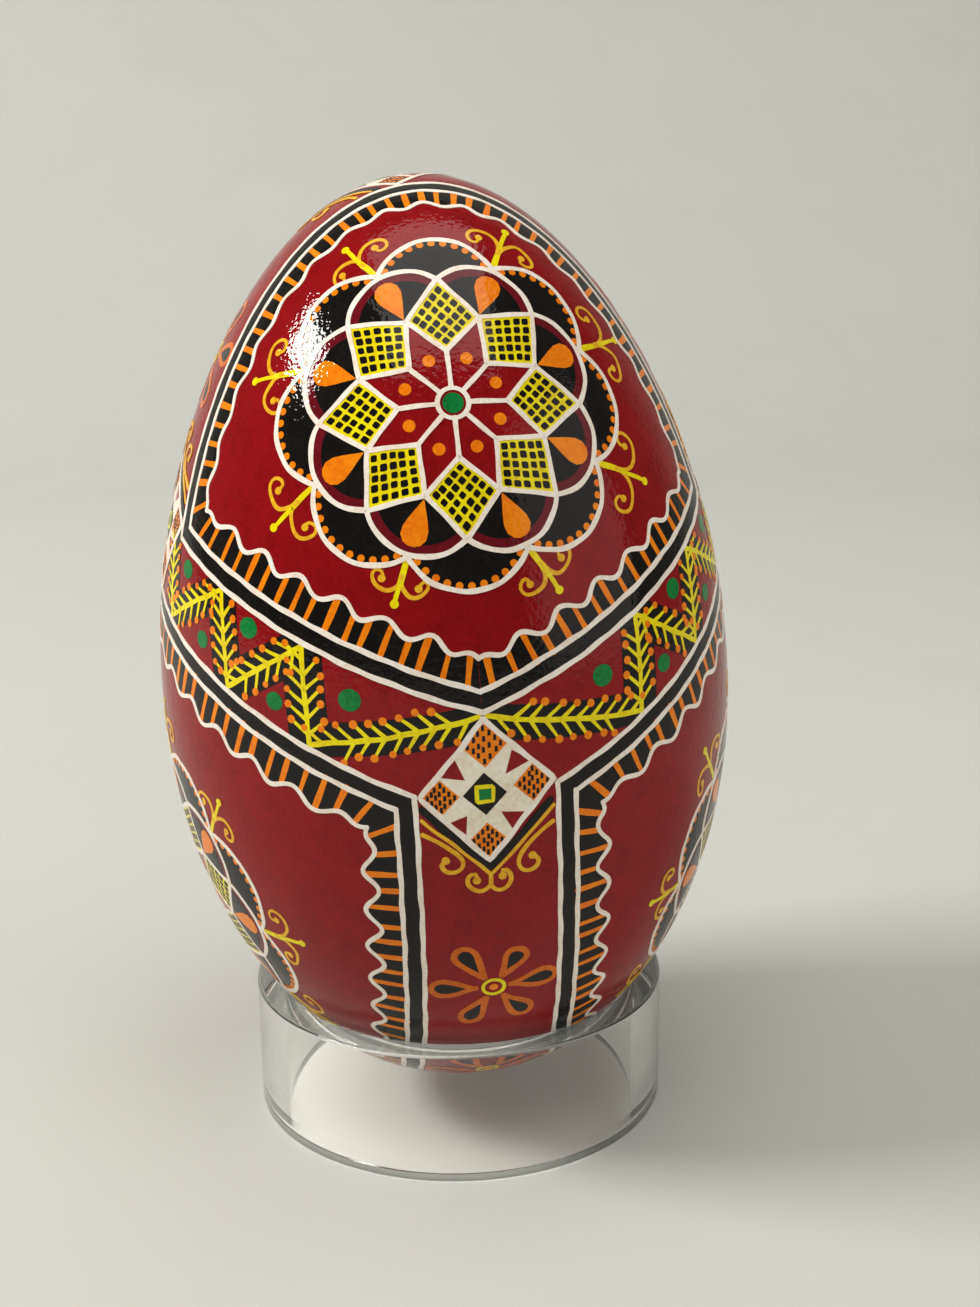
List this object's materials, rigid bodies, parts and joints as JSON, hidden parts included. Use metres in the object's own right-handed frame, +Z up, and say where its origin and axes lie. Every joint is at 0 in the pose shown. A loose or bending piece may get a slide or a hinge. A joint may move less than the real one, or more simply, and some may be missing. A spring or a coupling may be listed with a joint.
{
  "type": "decorated egg on a ring stand",
  "caption": "Blown goose egg with a wax-resist folk pattern, standing on its blunt end in a low clear ring; the egg lifts off.",
  "frame": {"origin": "centre of the ring stand's foot, on the table", "axes": "+Z up from the ring's foot to the egg's pointed end, -Y is the front that shows the large rosette, and the egg's axis leans 2.8 degrees towards -X"},
  "size_m": [0.0509, 0.0508, 0.0845],
  "materials": {
    "shell_red": "eggshell dyed deep red under clear gloss varnish",
    "shell_black": "eggshell dyed black under clear gloss varnish",
    "shell_white": "undyed eggshell under clear gloss varnish",
    "shell_yellow": "eggshell dyed yellow under clear gloss varnish",
    "shell_orange": "eggshell dyed orange under clear gloss varnish",
    "shell_green": "eggshell dabbed with green dye under clear gloss varnish",
    "beeswax": "smooth yellow beeswax",
    "clear_acrylic": "clear cast acrylic with polished edges"
  },
  "bodies": {
    "stand": {"ring_stand": "clear_acrylic"},
    "egg": {"eggshell": "shell_red", "blow_hole_seal": "beeswax"}
  },
  "joints": [
    {"name": "egg_lift", "type": "slide", "parent": "stand", "child": "egg", "axis": [0, 0, 1], "range_m": [0, 0.04]}
  ]
}
